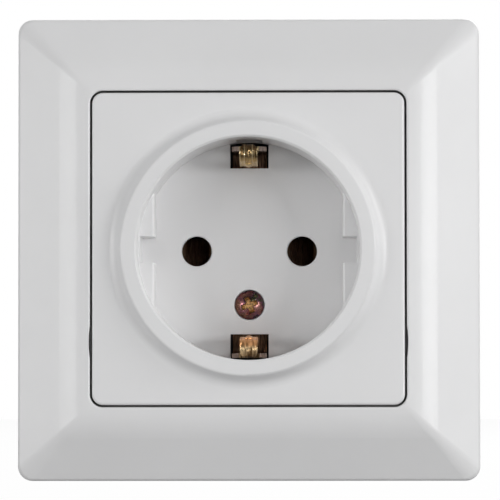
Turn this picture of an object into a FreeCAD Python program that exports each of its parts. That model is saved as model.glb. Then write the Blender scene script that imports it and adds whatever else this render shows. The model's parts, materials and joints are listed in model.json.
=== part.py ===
import FreeCAD, Part
import math
import os
from FreeCAD import Vector

# A flush wall socket with earth clips: cover frame, centre plate with plug recess, and the insert behind.
# Millimetres. X is to the right, Y goes into the wall, Z is up. The wall surface is at Y = 0.

# Cover frame
bevel_width = 13.15
frame_corner = 2.6
frame_wall = 1.8
frame_height = 9.4
edge_height = 3.6
brow_angle = 2.0
brow_width = 5.5
brow_steps = 4
crease_start = 0.5
edge_round = 0.9
edge_steps = 3
opening_round = 0.35
rim_wall = 1.6
ledge_width = 2.4
ledge_thickness = 1.5
lever_notch_width = 6.2
lever_notch_depth = 0.25
lever_notch_drop = 16.4

# Centre plate
plate_land = 3.9
plate_corner = 1.9
plate_gap = 0.35
plate_proud = 0.1
plate_wall = 2.0
plate_edge_round = 0.45
skirt_depth = 3.2
skirt_wall = 1.4
rib_thickness = 1.2
collar_rise = 2.4
collar_land = 2.4
collar_slope = 1.25
collar_foot_round = 1.9
collar_round = 0.5
rim_round = 0.35

# Plug recess
recess_radius = 19.6
recess_depth = 17.4
cup_wall = 2.0
cup_floor = 2.2
land_depth = 2.85
land_height = 10.0
land_round = 0.4
key_notch_width = 4.7
key_notch_depth = 2.5
pin_spacing = 19.0
pin_hole_radius = 2.7
pin_hole_round = 0.2
window_width = 6.9
window_reach = 4.65
wall_notch_width = 4.6
wall_notch_height = 9.0
wall_notch_depth = 1.3

# Cover screw and its nut
cover_screw_drop = 9.67
cover_screw_radius = 1.5
cover_head_radius = 2.6
cover_head_height = 1.7
cover_head_sink = 0.35
cover_screw_tail = 1.6
cover_screw_turn = 41.0
head_pocket_gap = 0.15
nut_side = 5.5
nut_thickness = 2.4

# Support bracket
bracket_margin = 3.7
bracket_corner = 9.0
bracket_notch_width = 12.0
bracket_notch_depth = 1.5
bracket_thickness = 1.2
box_screw_spacing = 60.0
slot_half_width = 1.9
slot_length = 6.4
bracket_screw_radius = 1.25
bracket_screw_grip = 2.6
bracket_head_radius = 2.3
bracket_head_height = 1.6
bracket_screw_angle = 60.0

# Base housing
cup_clearance = 0.3
ring_wall = 1.6
body_step = 1.1
body_draft = 0.5
base_depth = 20.7
back_wall = 2.0
base_wall = 1.8
partition = 1.4
web_wall = 2.5
flat_inset = 1.2
boss_radius = 2.5
ear_depth = 5.5
piece_clearance = 0.3
fit_clearance = 0.05
edge_margin = 0.001

# Earth strap
strap_thickness = 0.8
strap_drop = 3.3
strap_width = 6.2
strap_settle = 0.25
arm_rise = 11.1
shoulder_height = 2.5
shoulder_rise = 1.6
tongue_width = 3.15
arm_lean = 0.2
arm_curl = 1.4
fold_radius = 0.7
fold_bend = 0.63
bulge_bend = 3.0
bulge_inset = 0.25
bulge_height = 6.1
tongue_end_depth = 0.1
tongue_rise = 0.8
strap_bend = 0.8
rib_width = 1.4
rib_height = 0.3
rib_start_share = 0.35
rib_end_share = 0.9

# Line contacts and their springs
contact_thickness = 0.7
contact_width = 6.0
contact_gap = 3.9
contact_spread = 5.7
contact_drop = 1.6
contact_lead = 4.2
contact_leaf = 9.4
contact_bend = 0.8
pinch_bend = 2.5
spring_thickness = 0.5
spring_drop = 2.5
spring_width = 3.4

# Terminals
terminal_inset = 6.6
terminal_length = 7.0
terminal_width = 7.6
terminal_screw_radius = 1.5
terminal_head_radius = 2.4
terminal_head_height = 1.8
terminal_screw_tail = 1.2
clamp_thickness = 1.6
wire_radius = 1.2
wire_ease = 0.1
wire_gap = 2.4
line_terminal_drop = 7.6
earth_terminal_rise = 10.5
earth_tab_distance = 8.6

# Spreading claws
claw_screw_gap = 2.0
claw_lever = 3.4
claw_leg_gap = 0.7
claw_width = 8.0
claw_thickness = 1.2
claw_leg_length = 14.5
claw_bend = 0.6
claw_lip = 0.7
claw_lip_length = 2.0
claw_teeth = 4
claw_tooth_depth = 1.3
claw_tooth_share = 0.62
knuckle_radius = 1.8
claw_pin_radius = 0.8
claw_screw_radius = 1.5
claw_screw_tail = 5.0
claw_head_radius = 2.5
claw_head_height = 1.8
lug_thickness = 2.0
lug_clearance = 0.2
lug_radius = 2.2

# Shape shared by the screw heads
head_side_share = 0.45
cross_width = 0.75
cross_share = 0.62
cross_depth = 1.0

# Places that follow from the sizes above
land_radius = recess_radius + rim_round + collar_land
foot_radius = land_radius + collar_slope
plate_half = foot_radius + plate_land
opening_half = plate_half + plate_gap
frame_half = opening_half + bevel_width
bracket_half = frame_half - frame_wall - bracket_margin
land_flat = recess_radius - land_depth
window_start = recess_radius - window_reach
opening_corner = plate_corner + plate_gap
plate_front = -frame_height - plate_proud
collar_front = plate_front - collar_rise
skirt_back = plate_front + skirt_depth
ledge_back = skirt_back + ledge_thickness
recess_floor = collar_front + recess_depth
cup_back = recess_floor + cup_floor
base_back = cup_back + base_depth
bracket_screw_length = bracket_thickness + cup_back + bracket_screw_grip
cup_radius = recess_radius + cup_wall
cup_bore = cup_radius + cup_clearance
body_radius = cup_bore + body_step
pin_place = pin_spacing / 2
boss_distance = cup_bore + boss_radius
pocket_floor = base_back - back_wall
contact_outside = contact_spread / 2 + contact_thickness
line_tab_inside = pin_place + contact_spread / 2
strap_seat = cup_back + strap_drop
web_front = strap_seat - strap_thickness
arm_top = recess_floor - arm_rise
arm_shoulder = recess_floor - shoulder_height
bulge_place = recess_floor - bulge_height
tongue_end_place = recess_floor + tongue_end_depth
contact_mouth = cup_back + contact_drop
contact_pinch = contact_mouth + contact_lead
contact_straight = contact_mouth + contact_leaf
spring_start = contact_mouth + spring_drop
terminal_place = base_back - terminal_inset
arm_distance = recess_radius - piece_clearance - strap_settle - strap_thickness / 2
bulge_distance = window_start + bulge_inset
tongue_end_distance = bulge_distance + strap_thickness / 2 + tongue_rise
claw_screw_distance = cup_bore + claw_screw_gap + claw_screw_radius
claw_pivot = claw_screw_distance - claw_lever
claw_leg_distance = claw_screw_distance + claw_screw_radius + claw_leg_gap + claw_thickness / 2
flat_distance = claw_pivot - flat_inset
claw_pivot_depth = cup_back + piece_clearance + lug_radius
claw_leg_end = claw_pivot_depth + claw_leg_length


def cylinder_y(radius, front, back, x=0.0, z=0.0):
    return Part.makeCylinder(radius, back - front, Vector(x, front, z), Vector(0, 1, 0))


def block(x_range, y_range, z_range):
    low = Vector(x_range[0], y_range[0], z_range[0])
    size = [high - start for start, high in (x_range, y_range, z_range)]
    return Part.makeBox(size[0], size[1], size[2], low)


def mirrored(shape):
    return shape.mirror(Vector(0, 0, 0), Vector(1, 0, 0))


def rounded_square(half, corner, y):
    """Closed wire of a square with round corners, in the plane at y."""
    edges = []
    straight = half - corner
    for turn in range(4):
        angle = turn * math.pi / 2
        cos, sin = math.cos(angle), math.sin(angle)
        spots = []
        for u, v in ((half, -straight), (half, straight)):
            spots.append(Vector(u * cos - v * sin, y, u * sin + v * cos))
        edges.append(Part.LineSegment(spots[0], spots[1]).toShape())
        reach = straight + corner * math.sqrt(0.5)
        middle = Vector(reach * cos - reach * sin, y, reach * sin + reach * cos)
        end = Vector(straight * cos - half * sin, y, straight * sin + half * cos)
        edges.append(Part.Arc(spots[1], middle, end).toShape())
    return Part.Wire(edges)


def rounded_plate(half, corner, front, back):
    face = Part.Face(rounded_square(half, corner, front))
    return face.extrude(Vector(0, back - front, 0))


def revolved(profile, x=0.0, z=0.0):
    """Turn a closed outline of (radius, y) points about an axis along Y."""
    points = [Vector(x + radius, y, z) for radius, y in profile]
    face = Part.Face(Part.makePolygon(points + points[:1]))
    return face.revolve(Vector(x, 0, z), Vector(0, 1, 0), 360)


def strip_outline(points, thickness, bends):
    """Face of a bent strip whose middle line runs through 2D points, with an inside radius at each bend."""
    sides = {1: [], -1: []}
    last = {side: None for side in sides}
    count = len(points)
    along = []
    for start, end in zip(points, points[1:]):
        length = math.hypot(end[0] - start[0], end[1] - start[1])
        along.append(((end[0] - start[0]) / length, (end[1] - start[1]) / length))
    for side, edges in sides.items():
        shift = side * thickness / 2
        place = Vector(points[0][0] - along[0][1] * shift, points[0][1] + along[0][0] * shift, 0)
        for index in range(1, count - 1):
            before, after = along[index - 1], along[index]
            cross = before[0] * after[1] - before[1] * after[0]
            turn = math.atan2(cross, before[0] * after[0] + before[1] * after[1])
            sign = math.copysign(1, turn)
            radius = bends[index - 1] + thickness / 2
            reach = radius * math.tan(abs(turn) / 2)
            corner = points[index]
            start = (corner[0] - before[0] * reach, corner[1] - before[1] * reach)
            end = (corner[0] + after[0] * reach, corner[1] + after[1] * reach)
            centre = (start[0] - before[1] * sign * radius, start[1] + before[0] * sign * radius)
            span = math.hypot(corner[0] - centre[0], corner[1] - centre[1])
            own = (radius - sign * shift) / span
            first = Vector(start[0] - before[1] * shift, start[1] + before[0] * shift, 0)
            third = Vector(end[0] - after[1] * shift, end[1] + after[0] * shift, 0)
            out_x, out_y = corner[0] - centre[0], corner[1] - centre[1]
            second = Vector(centre[0] + out_x * own, centre[1] + out_y * own, 0)
            edges.append(Part.LineSegment(place, first).toShape())
            edges.append(Part.Arc(first, second, third).toShape())
            place = third
        tip = Vector(points[-1][0] - along[-1][1] * shift, points[-1][1] + along[-1][0] * shift, 0)
        edges.append(Part.LineSegment(place, tip).toShape())
        last[side] = tip
    ends = [edge[0].Vertexes[0].Point for edge in sides.values()]
    caps = [Part.LineSegment(ends[0], ends[1]).toShape(), Part.LineSegment(last[1], last[-1]).toShape()]
    ring = Part.Wire(Part.__sortEdges__(sides[1] + sides[-1] + caps))
    return Part.Face(ring)


def strip_xy(points, thickness, bends, z_range):
    """Bent strip whose 2D points are (x, y), as wide as z_range."""
    face = strip_outline(points, thickness, bends)
    face.translate(Vector(0, 0, z_range[0]))
    return face.extrude(Vector(0, 0, z_range[1] - z_range[0]))


def strip_zy(points, thickness, bends, half_width):
    """Bent strip whose 2D points are (z, y), centred on X = 0."""
    face = strip_outline(points, thickness, bends)
    face.rotate(Vector(0, 0, 0), Vector(0, 1, 0), -90)
    face.translate(Vector(-half_width, 0, 0))
    return face.extrude(Vector(2 * half_width, 0, 0))


def pan_screw(head_radius, head_height, radius, length):
    """Pan-head screw along +Y with its head seat at Y = 0 and a cross recess."""
    side = head_height * head_side_share
    crown = head_height - side
    ball = (head_radius ** 2 + crown ** 2) / (2 * crown)
    start = Vector(0, -head_height, 0)
    shoulder = Vector(head_radius, -side, 0)
    bow = Vector(head_radius / 2, -head_height + ball - math.sqrt(ball ** 2 - head_radius ** 2 / 4), 0)
    profile = [
        Part.Arc(start, bow, shoulder).toShape(),
        Part.LineSegment(shoulder, Vector(head_radius, 0, 0)).toShape(),
        Part.LineSegment(Vector(head_radius, 0, 0), Vector(radius, 0, 0)).toShape(),
        Part.LineSegment(Vector(radius, 0, 0), Vector(radius, length - radius / 2, 0)).toShape(),
        Part.LineSegment(Vector(radius, length - radius / 2, 0), Vector(radius / 2, length, 0)).toShape(),
        Part.LineSegment(Vector(radius / 2, length, 0), Vector(0, length, 0)).toShape(),
        Part.LineSegment(Vector(0, length, 0), start).toShape(),
    ]
    screw = Part.Face(Part.Wire(profile)).revolve(Vector(0, 0, 0), Vector(0, 1, 0), 360)
    arm = head_radius * cross_share
    deep = (-head_height - 1, -head_height + cross_depth)
    half = cross_width / 2
    cross = block((-arm, arm), deep, (-half, half)).fuse(block((-half, half), deep, (-arm, arm)))
    return screw.cut(cross)


def placed(shape, x, y, z):
    moved = shape.copy()
    moved.translate(Vector(x, y, z))
    return moved


def crease_corner(half):
    """Corner radius of the bevel at a distance from the middle: tight at the opening, wider at the edge."""
    share = (half - opening_half) / (frame_half - opening_half)
    return crease_start + (frame_corner - crease_start) * min(share, 1.0)


def bevel_angle():
    """Angle of the straight slope that meets the side wall at edge_height, found by halving."""
    flat = math.radians(brow_angle)
    low, high = flat, math.pi / 2
    for step in range(50):
        angle = (low + high) / 2
        fall = brow_width * math.tan((angle + flat) / 2) + (bevel_width - brow_width) * math.tan(angle)
        if fall < frame_height - edge_height:
            low = angle
        else:
            high = angle
    return angle


def bevel_profile(inset):
    """(distance from the middle, height) of the brow over the opening, down to the start of the slope."""
    steep, flat = bevel_angle(), math.radians(brow_angle)
    radius = brow_width / (math.sin(steep) - math.sin(flat))
    middle = opening_half - radius * math.sin(flat)
    base = frame_height - radius * math.cos(flat)
    brow = []
    for step in range(brow_steps + 1):
        angle = flat + (steep - flat) * step / brow_steps
        reach = radius - inset
        brow.append((middle + reach * math.sin(angle), base + reach * math.cos(angle)))
    return brow


def slope_height(inset, half):
    """Height of the straight slope at a distance from the middle."""
    last_half, last_height = bevel_profile(inset)[-1]
    return last_height - math.tan(bevel_angle()) * (half - last_half)


def edge_profile():
    """(distance from the middle, height) round the frame's outer edge, from the slope to the side wall."""
    steep = bevel_angle()
    centre = frame_half - edge_round
    base = slope_height(edge_round, centre)
    points = []
    for step in range(edge_steps + 1):
        angle = steep + (math.pi / 2 - steep) * step / edge_steps
        points.append((centre + edge_round * math.sin(angle), base + edge_round * math.cos(angle)))
    return points


def squares(profile, corner_inset=0.0):
    return [rounded_square(half, crease_corner(half) - corner_inset, -height) for half, height in profile]


def frame_outside():
    brow, edge = bevel_profile(0.0), edge_profile()
    solid = Part.makeLoft(squares(brow), True, False)
    solid = solid.fuse(Part.makeLoft(squares([brow[-1], edge[0]]), True, True))
    solid = solid.fuse(Part.makeLoft(squares(edge), True, False))
    return solid.fuse(rounded_plate(frame_half, frame_corner, -edge[-1][1], 0.0))


def frame_hollow():
    """Room under the bevel, one wall thickness inside the outside."""
    brow = bevel_profile(frame_wall)
    last = frame_half - frame_wall
    low = slope_height(frame_wall, last)
    profile = [brow[0], brow[len(brow) // 2], brow[-1], (last, low)]
    room = Part.makeLoft(squares(profile, crease_start / 2), True, True)
    corner = crease_corner(last) - crease_start / 2
    room = room.fuse(rounded_plate(last, corner, -low, 0.0))
    rim = rounded_plate(opening_half + rim_wall, opening_corner + rim_wall, -2 * frame_height, 1.0)
    return room.cut(rim)


def lever_notch(side):
    """Shallow curved hollow in the opening's edge, where a screwdriver lifts the frame."""
    radius = (lever_notch_width ** 2 / 4 + lever_notch_depth ** 2) / (2 * lever_notch_depth)
    x = side * (opening_half + lever_notch_depth - radius)
    round_edge = cylinder_y(radius, -2 * frame_height, skirt_back, x, -lever_notch_drop)
    x_range = sorted((side * (opening_half - lever_notch_depth), side * (opening_half + 1)))
    z_range = (-lever_notch_drop - lever_notch_width, -lever_notch_drop + lever_notch_width)
    return round_edge.common(block(x_range, (-2 * frame_height, skirt_back), z_range))


def cover_frame():
    frame = frame_outside().cut(frame_hollow())
    mouth = rounded_plate(opening_half, opening_corner, -2 * frame_height, skirt_back)
    frame = frame.cut(mouth)
    lips = []
    for edge in frame.Edges:
        box = edge.BoundBox
        reach = max(box.XMax, -box.XMin, box.ZMax, -box.ZMin)
        if reach < opening_half + edge_margin and box.YMax < plate_front + frame_wall:
            lips.append(edge)
    frame = frame.makeFillet(opening_round, lips)
    frame = frame.cut(rounded_plate(opening_half - ledge_width, opening_corner, skirt_back - 1, ledge_back))
    outside_rim = opening_half + rim_wall
    frame = frame.cut(rounded_plate(outside_rim, opening_corner + rim_wall, ledge_back, 1.0))
    for side in (-1, 1):
        frame = frame.cut(lever_notch(side))
    return frame.removeSplitter()


def collar_and_cup():
    """Raised collar and recess cup, turned about the socket's axis."""
    ring = revolved([
        (0, collar_front),
        (land_radius, collar_front),
        (foot_radius, plate_front),
        (foot_radius, plate_front + plate_wall / 2),
        (cup_radius, plate_front + plate_wall),
        (cup_radius, cup_back),
        (0, cup_back),
    ])
    outer_edges = []
    for edge in ring.Edges:
        box = edge.BoundBox
        if abs(box.YMax - collar_front) < 1e-6 and abs(box.XMax - land_radius) < 1e-3:
            outer_edges.append(edge)
    ring = ring.makeFillet(collar_round, outer_edges)
    return ring


def recess_tool():
    """The room that the plug takes: the round recess less its two side lands."""
    room = revolved([
        (0, collar_front - 1),
        (recess_radius + rim_round, collar_front - 1),
        (recess_radius + rim_round, collar_front),
        (recess_radius, collar_front + rim_round),
        (recess_radius, recess_floor),
        (0, recess_floor),
    ])
    land_front = recess_floor - land_height
    key = key_notch_width / 2
    for side in (-1, 1):
        x_range = sorted((side * land_flat, side * (recess_radius + 1)))
        land = block(x_range, (land_front, recess_floor + 1), (-recess_radius, recess_radius))
        edges = []
        for edge in land.Edges:
            box = edge.BoundBox
            on_flat = abs(abs(box.Center.x) - land_flat) < 1e-6
            if on_flat and box.ZLength > recess_radius and box.YMax < recess_floor:
                edges.append(edge)
        land = land.makeFillet(land_round, edges)
        x_key = sorted((side * (land_flat - 1), side * (land_flat + key_notch_depth)))
        land = land.cut(block(x_key, (land_front - 1, recess_floor), (-key, key)))
        room = room.cut(land)
    return room


def centre_plate():
    half = plate_half
    plate = rounded_plate(half, plate_corner, plate_front, skirt_back)
    front_edges = [edge for edge in plate.Edges if abs(edge.BoundBox.YMax - plate_front) < 1e-6]
    plate = plate.makeFillet(plate_edge_round, front_edges)
    inner_corner = plate_corner - skirt_wall / 2
    plate_back = plate_front + plate_wall
    plate = plate.cut(rounded_plate(half - skirt_wall, inner_corner, plate_back, skirt_back + 1))
    rib_z = (cup_radius - cup_wall / 2, half - skirt_wall / 2)
    rib = block((-rib_thickness / 2, rib_thickness / 2), (plate_front + plate_wall / 2, skirt_back), rib_z)
    for turn in range(4):
        arm = rib.copy()
        arm.rotate(Vector(0, 0, 0), Vector(0, 1, 0), 90 * turn)
        plate = plate.fuse(arm)
    plate = plate.fuse(collar_and_cup()).removeSplitter()
    foot = []
    for edge in plate.Edges:
        box = edge.BoundBox
        if abs(box.XMax - foot_radius) < 1e-3 and abs(box.YMin - plate_front) < 1e-3 and box.YLength < 1e-3:
            foot.append(edge)
    plate = plate.makeFillet(collar_foot_round, foot)
    plate = plate.cut(recess_tool())
    for side in (-1, 1):
        hole = revolved([
            (0, recess_floor - 1),
            (pin_hole_radius + pin_hole_round, recess_floor - 1),
            (pin_hole_radius + pin_hole_round, recess_floor),
            (pin_hole_radius, recess_floor + pin_hole_round),
            (pin_hole_radius, cup_back + 1),
            (0, cup_back + 1),
        ], side * pin_place)
        plate = plate.cut(hole)
        z_window = sorted((side * window_start, side * recess_radius))
        x_window = (-window_width / 2, window_width / 2)
        room = cylinder_y(recess_radius, recess_floor - 1, cup_back + 1)
        window = block(x_window, (recess_floor - 1, cup_back + 1), z_window)
        plate = plate.cut(window.common(room))
        z_notch = sorted((side * window_start, side * (recess_radius + wall_notch_depth)))
        x_notch = (-wall_notch_width / 2, wall_notch_width / 2)
        plate = plate.cut(block(x_notch, (recess_floor - wall_notch_height, recess_floor), z_notch))
    pocket_radius = cover_head_radius + head_pocket_gap
    seat = recess_floor + cover_head_sink + cover_head_height
    plate = plate.cut(cylinder_y(pocket_radius, recess_floor - 1, seat, 0, -cover_screw_drop))
    shank_radius = cover_screw_radius + fit_clearance
    return plate.cut(cylinder_y(shank_radius, recess_floor, cup_back + 1, 0, -cover_screw_drop))


def cover_screw():
    seat = recess_floor + cover_head_sink + cover_head_height
    length = strap_seat + nut_thickness + cover_screw_tail - seat
    screw = pan_screw(cover_head_radius, cover_head_height, cover_screw_radius, length)
    screw.rotate(Vector(0, 0, 0), Vector(0, 1, 0), cover_screw_turn)
    return placed(screw, 0, seat, -cover_screw_drop)


def cover_screw_nut():
    half = nut_side / 2
    low = -cover_screw_drop - half
    nut = block((-half, half), (strap_seat, strap_seat + nut_thickness), (low, low + nut_side))
    bore_radius = cover_screw_radius + fit_clearance
    bore_back = strap_seat + nut_thickness + 1
    return nut.cut(cylinder_y(bore_radius, strap_seat - 1, bore_back, 0, -cover_screw_drop))


def bracket_screw_places():
    angle = math.radians(bracket_screw_angle)
    x, z = boss_distance * math.cos(angle), boss_distance * math.sin(angle)
    return [(-x, -z), (-x, z), (x, -z), (x, z)]


def box_slot(centre_z):
    straight = slot_length / 2 - slot_half_width
    deep = (-bracket_thickness - 1, 1)
    slot = block((-slot_half_width, slot_half_width), deep, (centre_z - straight, centre_z + straight))
    for end in (-straight, straight):
        slot = slot.fuse(cylinder_y(slot_half_width, deep[0], deep[1], 0, centre_z + end))
    return slot


def support_bracket():
    sheet = rounded_plate(bracket_half, bracket_corner, -bracket_thickness, 0.0)
    sheet = sheet.cut(cylinder_y(cup_bore, -bracket_thickness - 1, 1))
    notch = block(
        (bracket_half - bracket_notch_depth, bracket_half + 1), (-bracket_thickness - 1, 1),
        (-bracket_notch_width / 2, bracket_notch_width / 2))
    for turn in range(4):
        side_notch = notch.copy()
        side_notch.rotate(Vector(0, 0, 0), Vector(0, 1, 0), 90 * turn)
        sheet = sheet.cut(side_notch)
    hole_radius = claw_screw_radius + lug_clearance
    for side in (-1, 1):
        sheet = sheet.cut(box_slot(side * box_screw_spacing / 2))
        sheet = sheet.cut(cylinder_y(hole_radius, -bracket_thickness - 1, 1, side * claw_screw_distance))
    for x, z in bracket_screw_places():
        sheet = sheet.cut(cylinder_y(bracket_screw_radius + fit_clearance, -bracket_thickness - 1, 1, x, z))
    return sheet


def bracket_screws():
    screw = pan_screw(bracket_head_radius, bracket_head_height, bracket_screw_radius, bracket_screw_length)
    return Part.makeCompound([placed(screw, x, -bracket_thickness, z) for x, z in bracket_screw_places()])


def claw_lugs():
    """Two lugs on the right side that carry the claw's pin."""
    inner = claw_width / 2 + lug_clearance
    solids = []
    for side in (-1, 1):
        z_range = sorted((side * inner, side * (inner + lug_thickness)))
        y_range = (claw_pivot_depth - lug_radius, claw_pivot_depth + lug_radius)
        lug = block((flat_distance - 1, claw_pivot), y_range, z_range)
        eye = Part.makeCylinder(lug_radius, lug_thickness, Vector(claw_pivot, claw_pivot_depth, z_range[0]))
        solids.append(lug.fuse(eye))
    return solids[0].fuse(solids[1])


def terminal_pocket(tab_x, z, tab_start):
    """Room for one side terminal: clamp, screw head, wire holes and screwdriver way, on the right side."""
    head_start = tab_x + wire_gap + clamp_thickness
    y_low = terminal_place - terminal_length / 2 - piece_clearance
    z_half = terminal_width / 2 + piece_clearance
    x_range = (tab_start, head_start + piece_clearance)
    room = block(x_range, (cup_back - 1, pocket_floor), (z - z_half, z + z_half))
    head = terminal_head_radius + piece_clearance
    x_head = (head_start, head_start + terminal_head_height + piece_clearance)
    room = room.fuse(block(x_head, (cup_back - 1, terminal_place + head), (z - head, z + head)))
    way = Part.makeCylinder(head, body_radius, Vector(head_start, terminal_place, z), Vector(1, 0, 0))
    room = room.fuse(way)
    wire_x = tab_x + wire_gap / 2
    for side in (-1, 1):
        wire_z = z + side * (terminal_screw_radius + wire_radius)
        room = room.fuse(cylinder_y(wire_radius + wire_ease, y_low, base_back + 1, wire_x, wire_z))
    return room


def walled(room):
    """Block that a room leaves standing in the core: its own size and a partition all round."""
    box = room.BoundBox
    return block(
        (box.XMin - partition, box.XMax + partition), (cup_back - 1, base_back),
        (box.ZMin - partition, box.ZMax + partition))


def front_core(kept):
    """Waste room moulded into the base from the front, between the outer wall and the rooms' own walls."""
    inside = flat_distance - base_wall
    core = cylinder_y(body_radius - body_draft - base_wall, cup_back - 1, pocket_floor)
    core = core.common(block((-inside, inside), (cup_back - 1, pocket_floor), (-body_radius, body_radius)))
    for island in kept:
        core = core.cut(island)
    return core


def back_cores():
    """Pockets in the back, under the earth strap's web, on both sides of the cover screw's nut."""
    end = recess_radius - base_wall
    nut_wall = nut_side / 2 + partition
    middle = end / 2
    spans = [
        (-end, -cover_screw_drop - nut_wall),
        (-cover_screw_drop + nut_wall, -partition / 2),
        (partition / 2, middle - partition / 2),
        (middle + partition / 2, end),
    ]
    half = strap_width / 2
    return [block((-half, half), (strap_seat + web_wall, base_back + 1), span) for span in spans]


def spacer_ring():
    """Moulded ring between the bracket and the base, round the cup, with a boss for each bracket screw."""
    ring = cylinder_y(cup_bore + ring_wall, 0, cup_back)
    for x, z in bracket_screw_places():
        ring = ring.fuse(cylinder_y(boss_radius, 0, cup_back, x, z))
    ring = ring.cut(cylinder_y(cup_bore, -1, cup_back + 1))
    for x, z in bracket_screw_places():
        ring = ring.cut(cylinder_y(bracket_screw_radius + lug_clearance, -1, cup_back + 1, x, z))
    return ring.removeSplitter()


def base_housing():
    body = revolved([
        (0, cup_back),
        (body_radius, cup_back),
        (body_radius - body_draft, base_back),
        (0, base_back),
    ])
    for x, z in bracket_screw_places():
        body = body.fuse(cylinder_y(boss_radius, cup_back, cup_back + ear_depth, x, z))
    reach = 2 * body_radius
    for side in (-1, 1):
        x_range = sorted((side * flat_distance, side * reach))
        body = body.cut(block(x_range, (cup_back - 1, base_back + 1), (-reach, reach)))
    sweep = knuckle_radius + piece_clearance
    recess_x = claw_pivot - sweep
    half = claw_width / 2 + lug_clearance
    knuckle_y = (claw_pivot_depth - sweep, claw_pivot_depth + sweep)
    knuckle_room = block((recess_x, reach), knuckle_y, (-half, half))
    pin = Part.makeCylinder(claw_pin_radius, 2 * reach, Vector(claw_pivot, claw_pivot_depth, -reach))
    lugs = claw_lugs()
    for flip in (False, True):
        body = body.fuse(mirrored(lugs) if flip else lugs)
        body = body.cut(mirrored(knuckle_room) if flip else knuckle_room)
        body = body.cut(mirrored(pin) if flip else pin)
    pocket_half = contact_width / 2 + spring_thickness + 2 * piece_clearance
    contact_room = block(
        (pin_place - contact_outside - spring_thickness - piece_clearance,
         pin_place + contact_outside + spring_thickness + piece_clearance),
        (cup_back - 1, pocket_floor), (-pocket_half, pocket_half))
    line_face = line_tab_inside + contact_thickness
    line_start = line_tab_inside - terminal_screw_radius
    line_room = contact_room.fuse(terminal_pocket(line_face, -line_terminal_drop, line_start))
    earth_face = earth_tab_distance + strap_thickness / 2
    earth_start = earth_tab_distance - strap_thickness / 2 - terminal_screw_radius
    earth_room = terminal_pocket(earth_face, earth_terminal_rise, earth_start)
    half_strap = strap_width / 2 + piece_clearance
    channel = block((-half_strap, half_strap), (cup_back - 1, strap_seat), (-recess_radius, recess_radius))
    wing_half = terminal_width / 2 + piece_clearance
    wing_room = block(
        (0, earth_tab_distance), (cup_back - 1, strap_seat),
        (earth_terminal_rise - wing_half, earth_terminal_rise + wing_half))
    nut_half = nut_side / 2 + piece_clearance / 2
    nut_room = block(
        (-nut_half, nut_half), (strap_seat - 1, strap_seat + nut_thickness),
        (-cover_screw_drop - nut_half, -cover_screw_drop + nut_half))
    tip_depth = strap_seat + nut_thickness + cover_screw_tail + 1
    tip_room = cylinder_y(cover_screw_radius + piece_clearance, strap_seat, tip_depth, 0, -cover_screw_drop)
    rooms = (line_room, mirrored(line_room), earth_room, channel, wing_room, nut_room, tip_room)
    lugs_half = half + lug_thickness
    side_block = block((recess_x - base_wall, reach), (cup_back - 1, base_back), (-lugs_half, lugs_half))
    kept = [walled(room) for room in rooms[:4]] + [walled(wing_room), side_block, mirrored(side_block)]
    body = body.cut(front_core(kept))
    for core in back_cores():
        body = body.cut(core)
    for room in rooms:
        body = body.cut(room)
    thread_radius = bracket_screw_radius + fit_clearance
    for x, z in bracket_screw_places():
        body = body.cut(cylinder_y(thread_radius, cup_back - 1, bracket_screw_length, x, z))
    return body.removeSplitter()


def tongue_rib(top, bulge):
    """Half-round ridge stamped along the tongue's inner face, between (z, y) points of its middle line."""
    along = Vector(0, bulge[1] - top[1], bulge[0] - top[0])
    out = Vector(0, along.z, -along.y).normalize()
    radius = (rib_width ** 2 / 4 + rib_height ** 2) / (2 * rib_height)
    sink = math.sqrt(radius ** 2 - rib_width ** 2 / 4)
    start = Vector(0, top[1], top[0]) + along * rib_start_share + out * (strap_thickness / 2)
    low, high = start - Vector(rib_width / 2, 0, 0), start + Vector(rib_width / 2, 0, 0)
    arc = Part.Arc(low, start + out * (radius - sink), high).toShape()
    foot = [low, low - out * (strap_thickness / 2), high - out * (strap_thickness / 2), high]
    sides = [Part.LineSegment(one, two).toShape() for one, two in zip(foot, foot[1:])]
    face = Part.Face(Part.Wire([arc] + sides[::-1]))
    return face.extrude(along * (rib_end_share - rib_start_share))


def curled_corners(half):
    """Waste outside the round outer edges of an arm, from the shoulder to the fold."""
    outside = arm_distance + strap_thickness / 2
    middle_x, middle_z = half - arm_curl, outside - arm_curl
    y_range = (arm_top - recess_depth, arm_shoulder - shoulder_rise)
    corner = block((middle_x, half + 1), y_range, (middle_z, outside + 1))
    corner = corner.cut(cylinder_y(arm_curl, y_range[0] - 1, y_range[1] + 1, middle_x, middle_z))
    return corner.fuse(mirrored(corner))


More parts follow.
